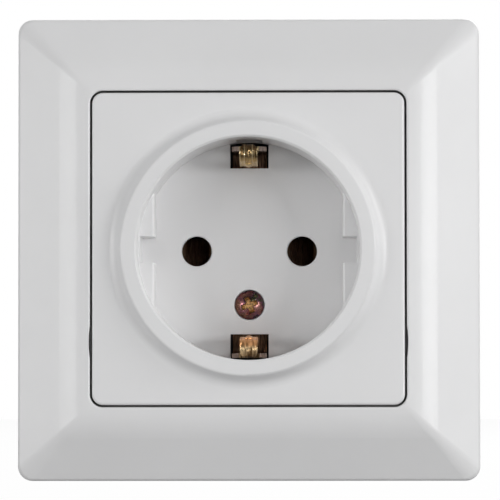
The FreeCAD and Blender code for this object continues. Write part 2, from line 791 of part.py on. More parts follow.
def earth_arm():
    """One spring arm with its folded tongue, at the top; the other is its mirror image."""
    web_middle = strap_seat - strap_thickness / 2
    fold_gap = 2 * fold_radius + strap_thickness
    fold_start = arm_distance - arm_lean
    tongue_top = (fold_start - fold_gap, arm_top - fold_radius)
    bulge = (bulge_distance + strap_thickness / 2, bulge_place)
    points = [
        (0, web_middle),
        (arm_distance, web_middle),
        (fold_start, arm_top - fold_radius),
        tongue_top,
        bulge,
        (tongue_end_distance, tongue_end_place),
    ]
    arm = strip_zy(points, strap_thickness, [strap_bend, fold_bend, fold_bend, bulge_bend], strap_width / 2)
    half = tongue_width / 2
    wide = strap_width / 2 + 1
    above = arm_top - recess_depth
    outline = [
        Vector(half, above, 0), Vector(half, arm_shoulder - shoulder_rise, 0),
        Vector(strap_width / 2, arm_shoulder, 0), Vector(wide, arm_shoulder, 0), Vector(wide, above, 0),
    ]
    trim = Part.Face(Part.makePolygon(outline + outline[:1])).extrude(Vector(0, 0, 2 * recess_radius))
    arm = arm.cut(trim).cut(mirrored(trim))
    below = (arm_shoulder - 1, tongue_end_place + 1)
    lower = block((half, wide), below, (0, arm_distance - strap_thickness))
    arm = arm.cut(lower).cut(mirrored(lower)).cut(curled_corners(half))
    return arm.fuse(tongue_rib(tongue_top, bulge))


def earth_strap():
    """The strap rests a little low in its channel, as far as its clearance lets it settle."""
    arm = earth_arm()
    lower = arm.mirror(Vector(0, 0, 0), Vector(0, 0, 1))
    strap = placed(arm.fuse(lower), 0, 0, -strap_settle)
    web_middle = strap_seat - strap_thickness / 2
    bottom = terminal_place + terminal_length / 2
    half = terminal_width / 2
    wing = strip_xy(
        [(0, web_middle), (earth_tab_distance, web_middle), (earth_tab_distance, bottom)], strap_thickness,
        [strap_bend], (earth_terminal_rise - half, earth_terminal_rise + half))
    strap = strap.fuse(wing)
    way_radius = cover_screw_radius + lug_clearance
    strap = strap.cut(cylinder_y(way_radius, web_front - 1, strap_seat + 1, 0, -cover_screw_drop))
    thread = Part.makeCylinder(
        terminal_screw_radius + fit_clearance, 2 * strap_thickness,
        Vector(earth_tab_distance - strap_thickness, terminal_place, earth_terminal_rise), Vector(1, 0, 0))
    return strap.cut(thread).removeSplitter()


def terminal_screw(tab_x, z):
    length = clamp_thickness + wire_gap + contact_thickness + terminal_screw_tail
    screw = pan_screw(terminal_head_radius, terminal_head_height, terminal_screw_radius, length)
    screw.rotate(Vector(0, 0, 0), Vector(0, 0, 1), 90)
    return placed(screw, tab_x + wire_gap + clamp_thickness, terminal_place, z)


def terminal_clamp(tab_x, z):
    """Clamp plate with two shallow wire grooves in the face that presses on the wires."""
    front = tab_x + wire_gap
    half = terminal_width / 2
    y_range = (terminal_place - terminal_length / 2, terminal_place + terminal_length / 2)
    clamp = block((front, front + clamp_thickness), y_range, (z - half, z + half))
    groove = cylinder_y(wire_radius, y_range[0] - 1, y_range[1] + 1, front - wire_radius / 2, z)
    for side in (-1, 1):
        clamp = clamp.cut(placed(groove, 0, 0, side * (terminal_screw_radius + wire_radius)))
    bore = Part.makeCylinder(
        terminal_screw_radius + fit_clearance, 3 * clamp_thickness,
        Vector(front - clamp_thickness, terminal_place, z), Vector(1, 0, 0))
    return clamp.cut(bore)


def line_contact():
    """Right-hand contact: two leaves that grip the pin, and a side tab for the terminal."""
    pinch = (contact_gap + contact_thickness) / 2
    wide = (contact_spread + contact_thickness) / 2
    bottom = pocket_floor - contact_thickness / 2
    leaf = [(wide, contact_mouth), (pinch, contact_pinch), (wide, contact_straight), (wide, bottom)]
    points = [(pin_place - u, y) for u, y in leaf]
    points += [(pin_place + u, y) for u, y in reversed(leaf)]
    bends = [pinch_bend, pinch_bend, contact_bend, contact_bend, pinch_bend, pinch_bend]
    half = contact_width / 2
    contact = strip_xy(points, contact_thickness, bends, (-half, half))
    y_range = (terminal_place - terminal_length / 2 + piece_clearance, terminal_place + terminal_length / 2)
    z_range = (-line_terminal_drop - terminal_width / 2, 0)
    tab = block((line_tab_inside, line_tab_inside + contact_thickness), y_range, z_range)
    contact = contact.fuse(tab)
    thread = Part.makeCylinder(
        terminal_screw_radius + fit_clearance, 3 * contact_thickness,
        Vector(line_tab_inside - contact_thickness, terminal_place, -line_terminal_drop), Vector(1, 0, 0))
    return contact.cut(thread).removeSplitter()


def contact_spring():
    """Steel clip around both leaves of the right-hand contact."""
    x = contact_outside + fit_clearance + spring_thickness / 2
    top = contact_width / 2 + lug_clearance + spring_thickness / 2
    points = [(x, -contact_width / 2), (x, top), (-x, top), (-x, -contact_width / 2)]
    face = strip_outline(points, spring_thickness, [contact_bend, contact_bend])
    face.rotate(Vector(0, 0, 0), Vector(1, 0, 0), 90)
    face.translate(Vector(pin_place, spring_start + spring_width, 0))
    return face.extrude(Vector(0, -spring_width, 0))


def claw():
    """Right-hand claw: a hinged steel lever with a toothed leg, pulled forward by its screw."""
    lip_start = claw_leg_end - claw_lip_length
    points = [
        (claw_pivot, claw_pivot_depth),
        (claw_leg_distance, claw_pivot_depth),
        (claw_leg_distance, lip_start),
        (claw_leg_distance + claw_lip, claw_leg_end),
    ]
    half = claw_width / 2
    lever = strip_xy(points, claw_thickness, [claw_bend, 2 * claw_bend], (-half, half))
    knuckle = Part.makeCylinder(knuckle_radius, claw_width, Vector(claw_pivot, claw_pivot_depth, -half))
    lever = lever.fuse(knuckle)
    bore = Part.makeCylinder(
        claw_pin_radius + fit_clearance, claw_width + 2, Vector(claw_pivot, claw_pivot_depth, -half - 1))
    lever = lever.cut(bore)
    slot_half = claw_screw_radius + fit_clearance
    slot_start = claw_screw_distance - claw_screw_radius - piece_clearance
    slot_end = claw_leg_distance - claw_thickness / 2
    deep = (claw_pivot_depth - 2 * knuckle_radius, claw_pivot_depth + 2 * knuckle_radius)
    lever = lever.cut(block((slot_start, slot_end), deep, (-slot_half, slot_half)))
    pitch = claw_width / claw_teeth
    for index in range(claw_teeth + 1):
        z = -half + index * pitch
        far = claw_leg_distance + claw_lip + claw_thickness
        near = claw_leg_distance - claw_thickness
        tip = Vector(near, claw_leg_end - claw_tooth_depth, z)
        left = Vector(near, claw_leg_end + 1, z - pitch * claw_tooth_share)
        right = Vector(near, claw_leg_end + 1, z + pitch * claw_tooth_share)
        gap = Part.Face(Part.makePolygon([tip, left, right, tip])).extrude(Vector(far - near, 0, 0))
        lever = lever.cut(gap)
    return lever.removeSplitter()


def claw_pin():
    length = claw_width + 2 * lug_clearance + 2 * lug_thickness
    return Part.makeCylinder(claw_pin_radius, length, Vector(claw_pivot, claw_pivot_depth, -length / 2))


def claw_screw():
    front = -bracket_thickness - fit_clearance
    length = claw_pivot_depth + claw_screw_tail - front
    screw = pan_screw(claw_head_radius, claw_head_height, claw_screw_radius, length)
    return placed(screw, claw_screw_distance, front, 0)


def sub_parts():
    line_face = line_tab_inside + contact_thickness
    earth_face = earth_tab_distance + strap_thickness / 2
    parts = {
        "cover_frame": cover_frame(),
        "centre_plate": centre_plate(),
        "cover_screw": cover_screw(),
        "cover_screw_nut": cover_screw_nut(),
        "support_bracket": support_bracket(),
        "bracket_screws": bracket_screws(),
        "spacer_ring": spacer_ring(),
        "base_housing": base_housing(),
        "earth_strap": earth_strap(),
        "earth_terminal_screw": terminal_screw(earth_face, earth_terminal_rise),
        "earth_terminal_clamp": terminal_clamp(earth_face, earth_terminal_rise),
    }
    paired = {
        "line_contact": line_contact(),
        "contact_spring": contact_spring(),
        "line_terminal_screw": terminal_screw(line_face, -line_terminal_drop),
        "line_terminal_clamp": terminal_clamp(line_face, -line_terminal_drop),
        "claw": claw(),
        "claw_pin": claw_pin(),
        "claw_screw": claw_screw(),
    }
    for name, shape in paired.items():
        parts[name + "_right"] = shape
        parts[name + "_left"] = mirrored(shape)
    return parts


os.makedirs("parts", exist_ok=True)
for name, shape in sub_parts().items():
    solids = shape.Solids
    print(name, len(solids), "solids", round(shape.Volume, 2), "mm3", shape.isValid())
    if len(solids) == 1:
        shape = solids[0]
    shape.exportStep("parts/" + name + ".step")
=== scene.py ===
# %% [markdown]
# # A flush wall socket, dressed for a studio photograph
#
# The construction of the socket comes in ready made, as a imported CAD model in metres.
# X runs to the right, Y runs into the wall and Z runs up. The wall's surface is at Y = 0, so the visible
# front has negative Y. This lesson keeps every CAD shape that is already right and gives it a finish. Then it
# models the screws again and rounds the edges of the stamped metal, where a camera or a curious eye
# will come close.

# %% Load the imported model
import json
import math

import bpy
from mathutils import Matrix, Vector


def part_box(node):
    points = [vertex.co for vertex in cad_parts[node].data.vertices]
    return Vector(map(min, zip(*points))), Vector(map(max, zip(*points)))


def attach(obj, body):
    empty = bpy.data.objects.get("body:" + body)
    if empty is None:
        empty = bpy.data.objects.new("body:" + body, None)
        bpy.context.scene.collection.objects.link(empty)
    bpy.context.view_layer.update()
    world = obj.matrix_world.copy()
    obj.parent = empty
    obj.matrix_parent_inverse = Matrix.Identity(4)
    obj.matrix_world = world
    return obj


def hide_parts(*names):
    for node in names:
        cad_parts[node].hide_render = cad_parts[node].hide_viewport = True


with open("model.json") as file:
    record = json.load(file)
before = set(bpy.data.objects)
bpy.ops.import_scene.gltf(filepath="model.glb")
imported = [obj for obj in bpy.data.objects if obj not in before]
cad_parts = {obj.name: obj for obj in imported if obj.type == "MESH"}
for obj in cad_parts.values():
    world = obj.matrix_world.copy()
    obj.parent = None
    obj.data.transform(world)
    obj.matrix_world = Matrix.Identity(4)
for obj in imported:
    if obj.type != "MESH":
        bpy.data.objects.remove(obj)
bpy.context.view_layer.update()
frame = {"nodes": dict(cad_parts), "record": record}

nodes = frame["nodes"]
MM = 0.001

# %% [markdown]
# ## Sums on shader sockets
#
# A finish is a piece of arithmetic: a mask times one colour plus the rest of another. Written with plain node
# calls it takes forty lines, so this class holds one output socket and lets `1 - mask` or `mask * 0.2` add the
# Math nodes. Colours must not go through Math nodes, which turn them grey: they go through `blend`. The Mix node
# has sockets of one name for numbers, vectors and colours, so those for colours are found by their numbers.

# %% A socket that can be used in sums
MIX_SHARE, MIX_FIRST_COLOUR, MIX_SECOND_COLOUR = 0, 6, 7
MIX_COLOUR_OUTPUT = 2


class Wire:
    """One output socket of a material's nodes."""

    def __init__(self, tree, socket):
        self.tree, self.socket = tree, socket

    def add(self, kind, settings, sockets, output=0):
        """Add any node: settings first, then values or links for its sockets. Gives back one output."""
        node = self.tree.nodes.new(kind)
        for name, value in settings.items():
            if name == "stops":
                while len(node.color_ramp.elements) < len(value):
                    node.color_ramp.elements.new(0.5)
                for element, (place, tone) in zip(node.color_ramp.elements, value):
                    element.position, element.color = place, tone
            else:
                setattr(node, name, value)
        for name, value in sockets.items():
            if isinstance(value, Wire):
                self.tree.links.new(value.socket, node.inputs[name])
            else:
                node.inputs[name].default_value = value
        return Wire(self.tree, node.outputs[output])

    def maths(self, operation, first, second):
        return self.add("ShaderNodeMath", {"operation": operation}, {0: first, 1: second})

    def __add__(self, other):
        return self.maths("ADD", self, other)

    def __mul__(self, other):
        return self.maths("MULTIPLY", self, other)

    def __sub__(self, other):
        return self.maths("SUBTRACT", self, other)

    def __rsub__(self, other):
        return self.maths("SUBTRACT", other, self)

    def __pow__(self, other):
        return self.maths("POWER", self, other)

    __radd__ = __add__
    __rmul__ = __mul__

    def absolute(self):
        return self.maths("ABSOLUTE", self, 0.0)

    def larger(self, other):
        return self.maths("MAXIMUM", self, other)

    def axis(self, index):
        """X, Y or Z of a vector, for 0, 1 or 2."""
        return self.add("ShaderNodeSeparateXYZ", {}, {"Vector": self}, index)

    def noise(self, scale, detail=2.0, stretch=(1.0, 1.0, 1.0)):
        """Cloudy noise; scale is in features per metre, and stretch below 1 draws it out along an axis."""
        place = self.add("ShaderNodeMapping", {}, {"Vector": self, "Scale": stretch})
        return self.add("ShaderNodeTexNoise", {}, {"Vector": place, "Scale": scale, "Detail": detail})

    def steps(self, low, high):
        """Spread the part of a mask between low and high over 0 to 1."""
        return self.add("ShaderNodeMapRange", {"clamp": True},
                        {"Value": self, "From Min": low, "From Max": high})

    def blend(self, first, second):
        """Mix two colours, with this socket as the share of the second."""
        sockets = {MIX_SHARE: self, MIX_FIRST_COLOUR: first, MIX_SECOND_COLOUR: second}
        return self.add("ShaderNodeMix", {"data_type": "RGBA"}, sockets, MIX_COLOUR_OUTPUT)

    def ramp(self, stops):
        return self.add("ShaderNodeValToRGB", {"stops": stops}, {"Fac": self})


# %% [markdown]
# ## Starting a finish
#
# Every finish here starts in the same way: a new material, its Principled shader, and the Object coordinates.
# Those are metres from the part's own zero point, so a pattern keeps its real scale on every piece.

# %% Helpers for materials
OBJECT_OUTPUT = 3


def colour(red, green, blue):
    return (red, green, blue, 1.0)


def start_finish(name):
    """A new material: gives it, its Principled shader and its Object coordinates."""
    material = bpy.data.materials.new(name)
    material.use_nodes = True
    tree = material.node_tree
    place = Wire(tree, None).add("ShaderNodeTexCoord", {}, {}, OBJECT_OUTPUT)
    return material, tree.nodes["Principled BSDF"], place


def feed(shader, **sockets):
    """Link wires into a shader's sockets, and set plain values on them."""
    for name, value in sockets.items():
        target = shader.inputs[name.replace("_", " ")]
        if isinstance(value, Wire):
            value.tree.links.new(value.socket, target)
        else:
            target.default_value = value


def bump(height, distance, strength):
    return height.add("ShaderNodeBump", {}, {"Height": height, "Distance": distance, "Strength": strength})


# %% [markdown]
# ## White moulded plastic
#
# The cover is urea resin or ABS with a polished tool: white, a little cool, with a soft sheen and not a mirror.
# A thin coat on top gives the sharp, faint lines of light along the rounded edges of the collar.
# Its surface is never quite even. Slow noise shifts the white by a percent or two, faster noise breaks the
# gloss, and a very fine bump stands for the orange peel of the mould. The walls of the joint between the plate
# and the frame are painted dark grey as shade, which draws the thin dark line round the plate. The joint is a
# square with round corners. Its half width is read from the plate's box, and `reach` is the half width of the
# rounded square on which a point lies.

# %% The joint round the plate
plate_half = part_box("centre_plate")[1].x
PLATE_CORNER = 1.9 * MM
JOINT = 0.35 * MM
FADE = 0.04 * MM
print("plate", round(2000 * plate_half, 1), "mm wide, joint", round(JOINT / MM, 2), "mm")


def joint_shade_mask(place):
    """1 on the two walls of the joint round the plate, 0 elsewhere."""
    inner = plate_half - PLATE_CORNER
    across, up = [(place.axis(index).absolute() - inner).larger(0.0) for index in (0, 2)]
    reach = (across * across + up * up) ** 0.5 + inner
    outer = plate_half + JOINT
    return reach.steps(plate_half - FADE, plate_half) * (1 - reach.steps(outer, outer + FADE))


# %% White plastic finish
def white_plastic():
    material, shader, place = start_finish("white moulded plastic")
    cloud = place.noise(45.0, 3.0).steps(0.3, 0.7)
    peel = place.noise(1500.0, 2.0)
    grain = place.noise(420.0, 2.0).steps(0.35, 0.65)
    white = cloud.blend(colour(0.855, 0.855, 0.86), colour(0.88, 0.88, 0.885))
    # Painted shade: the walls of the joint round the plate are painted dark grey.
    joint_shade = colour(0.16, 0.16, 0.155)
    feed(shader, Base_Color=joint_shade_mask(place).blend(white, joint_shade),
         Roughness=0.34 + grain * 0.05, Normal=bump(peel, 0.02 * MM, 0.25), IOR=1.48,
         Coat_Weight=0.08 + grain * 0.04, Coat_Roughness=0.06)
    return material


# %% [markdown]
# ## Dark insulating resin
#
# The base behind the cover is a dark thermoset that nobody polishes. It is matt, with filler that shows as pale
# specks and slightly cloudy patches.

# %% Dark resin finish
def dark_resin():
    material, shader, place = start_finish("dark insulating resin")
    patches = place.noise(120.0, 4.0).steps(0.3, 0.7)
    specks = place.noise(3200.0, 1.0).steps(0.66, 0.74)
    body = patches.blend(colour(0.020, 0.019, 0.020), colour(0.036, 0.034, 0.034))
    feed(shader, Base_Color=(specks * 0.5).blend(body, colour(0.11, 0.10, 0.10)),
         Roughness=0.55 + patches * 0.12, Normal=bump(place.noise(1800.0, 3.0), 0.03 * MM, 0.5))
    return material


# %% [markdown]
# ## Plated and bare steel
#
# The bracket, the claws, the nut and the clamps are stamped steel with a thin zinc coat: a cool grey metal with
# faint rolling marks and a crystal-like patchiness, duller where it was handled. The small springs are bare
# spring steel, darker and smoother. Both come from one recipe with other numbers.

# %% Steel finish
CELL_COLOUR_OUTPUT = 1


def rolled_steel(name, dark, light, rough, marks):
    material, shader, place = start_finish(name)
    spangle = place.add("ShaderNodeTexVoronoi", {}, {"Vector": place, "Scale": 420.0}, CELL_COLOUR_OUTPUT)
    tone = spangle.add("ShaderNodeSeparateColor", {}, {"Color": spangle})
    rolled = place.noise(900.0, 2.0, (1.0, 1.0, 0.06))
    dull = place.noise(160.0, 3.0).steps(0.42, 0.68)
    feed(shader, Base_Color=(tone * 0.35 + rolled * 0.65).blend(dark, light), Metallic=1.0,
         Roughness=rough + dull * 0.16 + rolled * 0.06, Normal=bump(rolled, 0.02 * MM, marks))
    return material


# %% [markdown]
# ## Brass
#
# The earth strap and the contacts are folded brass strip, and the rolling of the strip has left it finely ribbed
# and streaked. The streaks are drawn in strong colour contrast, partly that real texture and partly painted
# reflections of the lamps and of a dark room. A brown film lies on the brass in patches. All the brass behind
# the recess floor is painted a dull dark brown as shade, so the brass in front of it stays bright. The floor's
# place comes from the record: the openings for the plug end just in front of it. Beside the tongues the strip
# is a paler brown. Each tongue's crest is partly polished by plugs and partly a painted reflection, the lower
# one a redder gold. The upper tongue is painted darker as shade, and painted highlights run along its edges
# and the edges of its rib.
#
# Each of these zones is a mask made from one or two axes of the place, with a soft step at its border.

# %% Zones of the earth tongues
FLOOR_CLEARANCE = 0.1 * MM
recess_floor = frame["record"]["physics"]["openings"][0]["box_m"][1][1] + FLOOR_CLEARANCE
TONGUE_HALF = 1.575 * MM
RIB_HALF = 0.70 * MM
CREST_FADE = (16.9 * MM, 17.5 * MM)
UPPER_CREST_DROP = 1.2 * MM
print("recess floor at y", round(recess_floor * 1000, 2), "mm")


def tongue_zones(place):
    """Masks: behind the floor, on the upper tongue, on a crest, beside the tongues, and on painted-highlight
    edges.
    """
    # Painted shade: the brass behind the recess floor is painted a dull dark brown.
    deep_shade = place.axis(1).steps(recess_floor - 0.2 * MM, recess_floor + 1.4 * MM)
    upper = place.axis(2).steps(-1 * MM, 1 * MM)
    crest = 1 - (place.axis(2).absolute() + upper * UPPER_CREST_DROP).steps(*CREST_FADE)
    across = place.axis(0).absolute()
    beside = across.steps(TONGUE_HALF + 0.1 * MM, TONGUE_HALF + 0.4 * MM)
    rib_edge = 1 - (across - RIB_HALF).absolute().steps(0.06 * MM, 0.14 * MM)
    outer_edge = across.steps(TONGUE_HALF - 0.18 * MM, TONGUE_HALF - 0.10 * MM)
    # Painted highlights: the upper tongue's outer edges and the edges of its rib.
    painted_light_mask = rib_edge.larger(outer_edge) * (1 - beside) * upper
    return deep_shade, upper, crest, beside, painted_light_mask


# %% Brass finish
def strip_brass():
    material, shader, place = start_finish("strip brass")
    deep_shade, upper, crest, beside, painted_light_mask = tongue_zones(place)
    film = place.noise(230.0, 4.0).steps(0.44, 0.72)
    drawn = place.noise(2300.0, 1.0, (1.0, 0.10, 0.10)).steps(0.36, 0.64)
    ribbed = (1 - crest) * (1 - beside)
    # Streaks partly of real rolling marks and partly painted reflections, bright and dark, on the ribbed parts.
    streaks_and_glints = (drawn * ribbed).blend(colour(0.95, 0.70, 0.40), colour(0.17, 0.10, 0.04))
    # Painted shade: the upper tongue's streaks are painted darker.
    upper_shaded = (upper * 0.75).blend(streaks_and_glints, colour(0.13, 0.085, 0.03))
    # Crests partly polished by plugs and partly a painted reflection; the upper crest is painted dimmer as shade.
    polish_and_sheen = upper.blend(colour(1.0, 0.52, 0.23), colour(0.62, 0.45, 0.20))
    # The upper tongue's edges and rib edges get a painted highlight.
    tongue = painted_light_mask.blend(crest.blend(upper_shaded, polish_and_sheen), colour(0.78, 0.62, 0.36))
    strip = beside.blend(tongue, colour(0.60, 0.49, 0.43))
    aged = (film * 0.5).blend(strip, colour(0.34, 0.16, 0.07))
    # Painted shade: all the brass behind the recess floor gets a dark brown colour.
    feed(shader, Base_Color=deep_shade.blend(aged, colour(0.40, 0.25, 0.16)), Metallic=1.0,
         Roughness=0.26 + film * 0.10 + deep_shade * 0.15 + (beside + crest) * 0.12,
         Normal=bump(drawn, 0.5 * MM, 0.9))
    return material


# %% [markdown]
# ## Yellow chromate
#
# The screws carry the old iridescent passivation. The film is a fraction of a light wave thick, so its colour
# runs from gold through pink and violet to green as the thickness drifts over a millimetre or so. A colour ramp
# over noise gives just that, under a metal shader. Inside the cover screw's recess the walls are painted dark as
# shade, and the bottom is a dull gold that is partly the driver's wear and partly a painted reflection. A point
# is in the recess when it lies below the curve of the domed head, which is a part of a ball, near enough a
# parabola here.

# %% Wear and painted light in the cover screw's recess
COVER_HEAD = (2.6 * MM, 1.7 * MM)
CROWN_SHARE = 0.55
RIM_SQUARED = (4.0 * MM ** 2, 4.6 * MM ** 2)


def dome_ball(head_radius, head_height):
    """Radius of the ball that shapes the crown of a pan head, which is a share of the head's height."""
    crown = CROWN_SHARE * head_height
    return (head_radius ** 2 + crown ** 2) / (2 * crown)


def recess_wear_and_painted_light(place):
    """Two masks: 1 inside the cover screw's driver recess, and 1 near that recess's bottom."""
    low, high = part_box("cover_screw")
    aside = place.axis(0) - (low.x + high.x) / 2
    up = place.axis(2) - (low.z + high.z) / 2
    spread = aside * aside + up * up
    dome = low.y + spread * (0.5 / dome_ball(*COVER_HEAD))
    depth = place.axis(1) - dome
    inside = depth.steps(0.04 * MM, 0.12 * MM) * (1 - spread.steps(*RIM_SQUARED))
    return inside, depth.steps(0.2 * MM, 0.6 * MM)


# %% Iridescent screw finish
def yellow_chromate():
    material, shader, place = start_finish("iridescent chromate")
    film = place.noise(520.0, 2.0).steps(0.28, 0.74)
    tint = film.ramp([(0.0, colour(0.27, 0.14, 0.07)), (0.25, colour(0.36, 0.19, 0.15)),
                      (0.45, colour(0.33, 0.14, 0.15)), (0.62, colour(0.20, 0.11, 0.15)),
                      (0.80, colour(0.14, 0.16, 0.09)), (1.0, colour(0.34, 0.22, 0.12))])
    fine = place.noise(2600.0, 2.0)
    painted_light_mask, bottom = recess_wear_and_painted_light(place)
    # Painted shade on the recess walls; the gold at the bottom is partly wear and partly a painted reflection.
    recess_shade_and_gold = (fine.steps(0.36, 0.58) * bottom).blend(colour(0.16, 0.12, 0.06), colour(0.90, 0.52, 0.22))
    feed(shader, Base_Color=painted_light_mask.blend(tint, recess_shade_and_gold), Metallic=1.0,
         Roughness=0.22 + fine * 0.12 + painted_light_mask * 0.2, Normal=bump(fine, 0.02 * MM, 0.2))
    return material


# %% [markdown]
# ## Giving out the finishes
#
# The record names a material slot for each CAD node. One finish per slot keeps pieces of the same stuff alike,
# and the pieces that are modelled later take theirs from the same table.

# %% A finish for each material slot
finishes = {
    "white_gloss": white_plastic(),
    "dark_insulator": dark_resin(),
    "zinc_steel": rolled_steel("zinc-plated steel", colour(0.50, 0.51, 0.53), colour(0.68, 0.69, 0.70),
                               rough=0.30, marks=0.25),
    "spring_steel": rolled_steel("spring steel", colour(0.27, 0.27, 0.28), colour(0.40, 0.40, 0.41),
                                 rough=0.24, marks=0.15),
    "brass": strip_brass(),
    "yellow_zinc": yellow_chromate(),
}
slot_of = {part["node"]: part["material_slot"] for part in frame["record"]["subparts"]}
for name, node in nodes.items():
    node.data.materials.clear()
    node.data.materials.append(finishes[slot_of[name]])
print("finishes", sorted(finishes))

# %% [markdown]
# ## Working with the operators
#
# Blender's operators act on whatever is selected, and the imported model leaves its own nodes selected. So each
# helper here first selects the one piece that it works on. A modifier is applied at once, because a later step
# needs the real faces.

# %% Helpers for modelling
SMOOTH_BELOW = 35


def only(piece):
    """Select one object and nothing else, and make it the active one."""
    bpy.ops.object.select_all(action="DESELECT")
    piece.select_set(True)
    bpy.context.view_layer.objects.active = piece


def add_object(name, data):
    """New object in the scene for a mesh, a lamp or a camera."""
    piece = bpy.data.objects.new(name, data)
    bpy.context.scene.collection.objects.link(piece)
    return piece


def finish_modifiers(piece):
    only(piece)
    for modifier in list(piece.modifiers):
        bpy.ops.object.modifier_apply(modifier=modifier.name)


def combine(piece, operation, other):
    """Join another solid to a piece (UNION) or cut it out (DIFFERENCE). The other solid is used up."""
    boolean = piece.modifiers.new("combine", "BOOLEAN")
    boolean.operation, boolean.object, boolean.solver = operation, other, "EXACT"
    finish_modifiers(piece)
    bpy.data.objects.remove(other)


def soften(piece, width, sharper_than):
    """Narrow rounding of every edge that is sharper than an angle in degrees."""
    edge = piece.modifiers.new("softened edges", "BEVEL")
    edge.width, edge.segments, edge.limit_method = width, 2, "ANGLE"
    edge.angle_limit = math.radians(sharper_than)
    finish_modifiers(piece)


def smooth(piece):
    only(piece)
    bpy.ops.object.shade_smooth_by_angle(angle=math.radians(SMOOTH_BELOW))


def stand_in(piece, node, body):
    """The piece moves with a body and takes the place of a CAD node."""
    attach(piece, body)
    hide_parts(node)
    print(piece.name, "faces", len(piece.data.polygons), "on", body)


# %% [markdown]
# ## Screws with a real thread and a cross recess
#
# In the CAD model each screw is a smooth pin with a domed head. Close up, the eye looks for two things: the
# recess for the driver, with slanted walls, and the helix of the thread. The three kinds of screw are the same
# shape at other sizes, so one function makes them. The solid could be spun from a profile. Here it is drawn out
# ring by ring from a flat disc at the middle of the dome, down the head and along the shank, so that each ring
# is a size that can be read off.

# %% A solid drawn out ring by ring
TURNED_SEGMENTS = 48
DOME_RINGS = 6


def turned(name, profile):
    """Disc drawn out into a turned solid along +Y through (radius, y) rings, closed at both ends."""
    radius, y = profile[0]
    bpy.ops.mesh.primitive_circle_add(vertices=TURNED_SEGMENTS, radius=radius, fill_type="NGON",
                                      location=(0, y, 0), rotation=(math.radians(90), 0, 0))
    piece = bpy.context.object
    piece.name = name
    bpy.ops.object.transform_apply(location=True, rotation=True, scale=True)
    bpy.ops.object.mode_set(mode="EDIT")
    bpy.ops.mesh.select_all(action="SELECT")
    for next_radius, next_y in profile[1:]:
        bpy.ops.mesh.extrude_region_move(TRANSFORM_OT_translate={"value": (0, next_y - y, 0)})
        share = next_radius / radius
        bpy.ops.transform.resize(value=(share, 1, share), center_override=(0, next_y, 0))
        radius, y = next_radius, next_y
    bpy.ops.mesh.select_all(action="SELECT")
    bpy.ops.mesh.remove_doubles(threshold=1e-7)
    bpy.ops.mesh.normals_make_consistent(inside=False)
    bpy.ops.object.mode_set(mode="OBJECT")
    return piece


def dome_rings(radius, height):
    """(radius, y) rings of a pan head whose seat is at y = 0 and whose top is at y = -height."""
    ball = dome_ball(radius, height)
    profile = []
    for step in range(1, DOME_RINGS + 1):
        r = radius * step / DOME_RINGS
        profile.append((r, -height + ball - math.sqrt(ball ** 2 - r ** 2)))
    return profile


# %% [markdown]
# ## The driver's recess
#
# The recess is a cross whose walls slant inwards, so that the driver's tip wedges in it. Two bars that narrow
# towards the bottom are crossed and joined, and the result is the tool that cuts the head. Its mouth stands a
# little above the dome, because two faces in one plane spoil a cut.

# %% Tool for the cross recess
RECESS_ARM_SHARE = 0.78
RECESS_WIDTH = 1.05 * MM
RECESS_DEPTH = 1.1 * MM
CUTTER_PROUD = 0.3 * MM
RECESS_TAPER = (0.5, 1, 0.7)


def cross_cutter(arm, top):
    """Tapered cross that cuts the driver's recess; its mouth is at y = top."""
    blades = []
    for turn in (0, 90):
        bpy.ops.mesh.primitive_cube_add(size=1, location=(0, top + (RECESS_DEPTH - CUTTER_PROUD) / 2, 0))
        blade = bpy.context.object
        blade.scale = (2 * arm, RECESS_DEPTH + CUTTER_PROUD, RECESS_WIDTH)
        bpy.ops.object.transform_apply(location=False, rotation=False, scale=True)
        bpy.ops.object.mode_set(mode="EDIT")
        bpy.ops.mesh.select_all(action="DESELECT")
        bpy.ops.object.mode_set(mode="OBJECT")
        for polygon in blade.data.polygons:
            polygon.select = polygon.normal.y > 0.9
        bpy.ops.object.mode_set(mode="EDIT")
        bpy.ops.transform.resize(value=RECESS_TAPER, center_override=(0, top + RECESS_DEPTH, 0))
        bpy.ops.object.mode_set(mode="OBJECT")
        blade.rotation_euler.y = math.radians(turn)
        bpy.ops.object.transform_apply(location=True, rotation=True, scale=True)
        blades.append(blade)
    combine(blades[0], "UNION", blades[1])
    return blades[0]


# %% [markdown]
# ## The thread
#
# A thread is a ridge that climbs by one pitch in each turn. The Screw modifier winds a profile in just that way.
# The profile is a V of three points, and its feet lie a hair inside the shank, so no gap shows along the helix.

# %% Thread
THREAD_RADIUS = 1.5 * MM
PITCH = 0.5 * MM
ROOT_RADIUS = THREAD_RADIUS - 0.61 * PITCH
RIDGE_FOOT_RADIUS = THREAD_RADIUS - 0.62 * PITCH
RIDGE_HALF = 0.42 * PITCH
STEPS_PER_TURN = 24


def thread(start, length):
    """Helical ridge with a V section along +Y, from y = start."""
    turns = length / PITCH
    mesh = bpy.data.meshes.new("thread profile")
    mesh.from_pydata([(RIDGE_FOOT_RADIUS, start - RIDGE_HALF, 0), (THREAD_RADIUS, start, 0),
                      (RIDGE_FOOT_RADIUS, start + RIDGE_HALF, 0)], [(0, 1), (1, 2)], [])
    piece = add_object("thread", mesh)
    wind = piece.modifiers.new("wind", "SCREW")
    wind.axis = "Y"
    wind.angle = math.radians(360 * turns)
    wind.screw_offset = length
    wind.steps = wind.render_steps = int(STEPS_PER_TURN * turns)
    wind.use_merge_vertices = False
    finish_modifiers(piece)
    return piece


# %% The whole screw
HEAD_EDGE = 0.08 * MM
SCREW_ROUNDING = 0.05 * MM
TIP_LENGTH = 0.5 * THREAD_RADIUS


